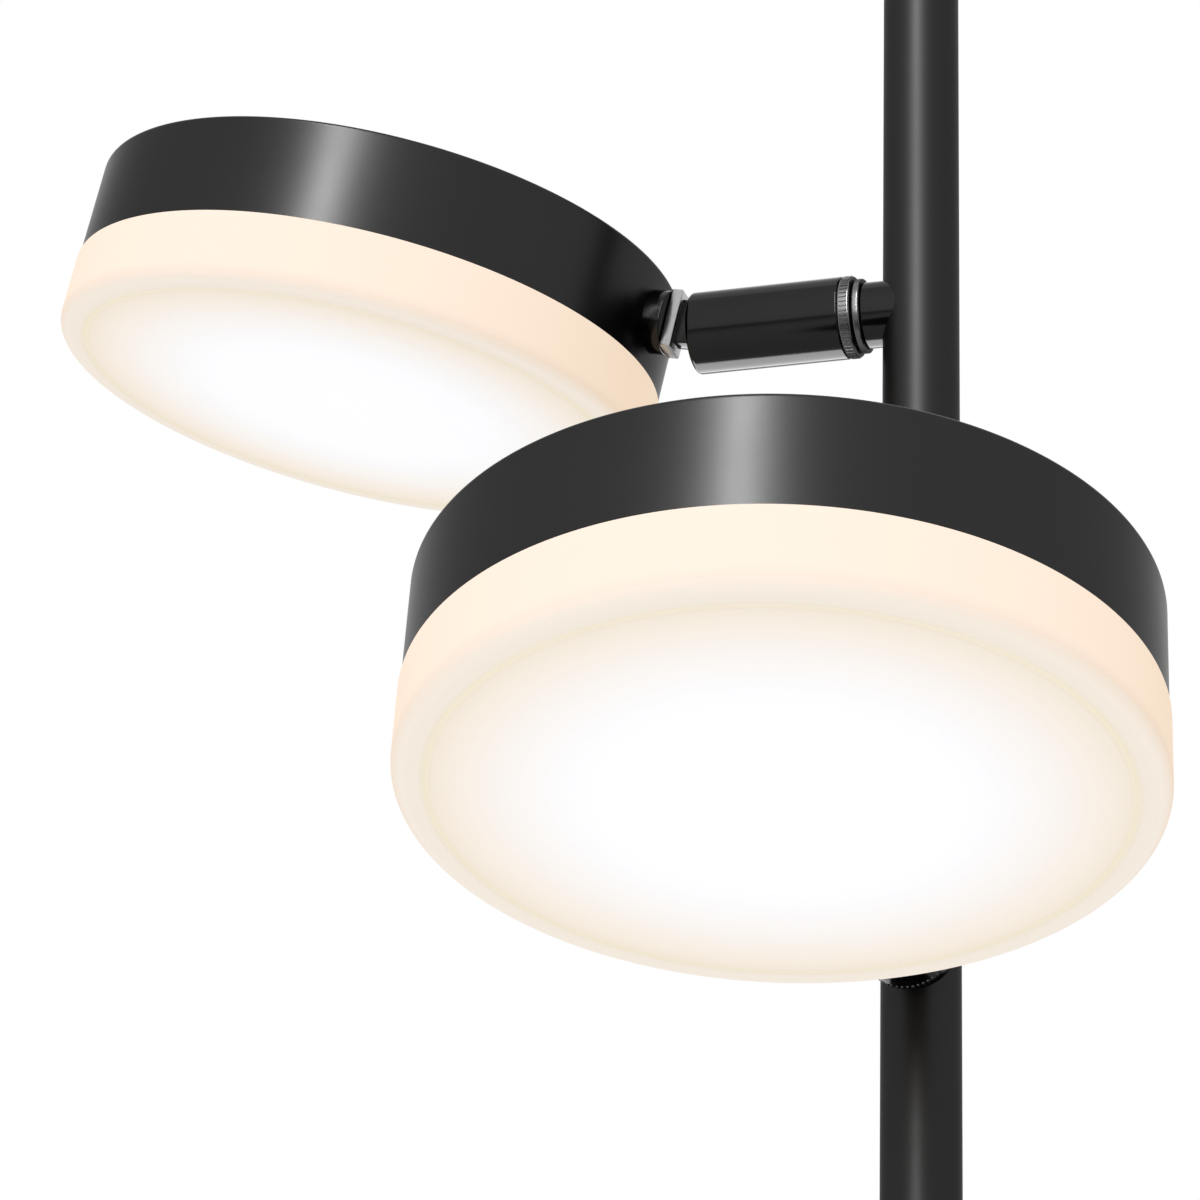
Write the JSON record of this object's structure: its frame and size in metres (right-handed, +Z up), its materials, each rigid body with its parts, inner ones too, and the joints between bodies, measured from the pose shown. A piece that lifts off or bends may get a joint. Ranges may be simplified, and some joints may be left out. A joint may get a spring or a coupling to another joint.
{
  "type": "floor lamp",
  "caption": "Slim black floor lamp with a weighted round base, a sectional pole and round puck heads with lit opal undersides on swivelling, tilting arms.",
  "frame": {"origin": "centre of the base's underside, on the floor and on the pole's axis", "axes": "+Z up along the pole; -Y towards the front of the lamp; +X to the right seen from the front"},
  "size_m": [0.3045, 0.3085, 1.4],
  "materials": {
    "black_steel": "satin black powder coat",
    "black_aluminium": "satin black coat on turned aluminium",
    "opal": "satin opal, lit warm white from inside",
    "iron": "raw casting",
    "zinc_steel": "zinc plated",
    "felt": "dense felt",
    "black_plastic": "fine matte",
    "lead_sheath": "smooth sheath",
    "board_white": "white solder mask",
    "phosphor": "phosphor lens",
    "white_plastic": "moulded"
  },
  "bodies": {
    "stand": {"base_pad": "felt", "base_plate": "zinc_steel", "base_plate_screws": "zinc_steel", "base_weight": "iron", "base_cover": "black_steel", "led_driver": "black_plastic", "cord_gland": "black_plastic", "foot_stud": "zinc_steel", "foot_washer": "zinc_steel", "foot_nut": "zinc_steel", "pole_collar": "black_steel", "lower_pole": "black_steel", "middle_pole": "black_steel", "upper_pole": "black_steel", "lower_pole_coupler": "zinc_steel", "upper_pole_coupler": "zinc_steel", "pole_cap": "black_steel", "pole_cable": "lead_sheath", "upper_lead": "lead_sheath", "upper_arm_insert": "zinc_steel", "upper_arm_spigot": "black_steel", "upper_friction_washer": "zinc_steel", "lower_arm_insert": "zinc_steel", "lower_arm_spigot": "black_steel", "lower_friction_washer": "zinc_steel"},
    "upper_knuckle": {"upper_swivel_ring": "zinc_steel", "upper_swivel_barrel": "black_aluminium", "upper_swivel_grub": "zinc_steel", "upper_tilt_pin": "zinc_steel"},
    "upper_head": {"upper_tilt_tongue": "black_steel", "upper_tongue_collar": "zinc_steel", "upper_tongue_screws": "zinc_steel", "upper_drum": "black_aluminium", "upper_led_board": "board_white", "upper_board_screws": "zinc_steel", "upper_led_chips": "phosphor", "upper_board_terminal": "white_plastic", "upper_diffuser": "opal"},
    "lower_knuckle": {"lower_swivel_ring": "zinc_steel", "lower_swivel_barrel": "black_aluminium", "lower_swivel_grub": "zinc_steel", "lower_tilt_pin": "zinc_steel"},
    "lower_head": {"lower_tilt_tongue": "black_steel", "lower_tongue_collar": "zinc_steel", "lower_tongue_screws": "zinc_steel", "lower_drum": "black_aluminium", "lower_led_board": "board_white", "lower_board_screws": "zinc_steel", "lower_led_chips": "phosphor", "lower_board_terminal": "white_plastic", "lower_diffuser": "opal"}
  },
  "joints": [
    {"name": "upper_swivel", "type": "hinge", "parent": "stand", "child": "upper_knuckle", "pos_m": [0, 0, 1.287], "axis": [-0.9489, 0.3156, 0], "range_deg": [-175, 175]},
    {"name": "upper_tilt", "type": "hinge", "parent": "upper_knuckle", "child": "upper_head", "pos_m": [-0.03796, 0.01263, 1.287], "axis": [0.3156, 0.9488, -0.0105], "range_deg": [-21.9, 33.1]},
    {"name": "lower_swivel", "type": "hinge", "parent": "stand", "child": "lower_knuckle", "pos_m": [0, 0, 1.1459], "axis": [-0.2706, -0.9627, 0], "range_deg": [-175, 175]},
    {"name": "lower_tilt", "type": "hinge", "parent": "lower_knuckle", "child": "lower_head", "pos_m": [-0.01082, -0.03851, 1.1459], "axis": [-0.9623, 0.2705, -0.0297], "range_deg": [-23.3, 31.7]}
  ]
}
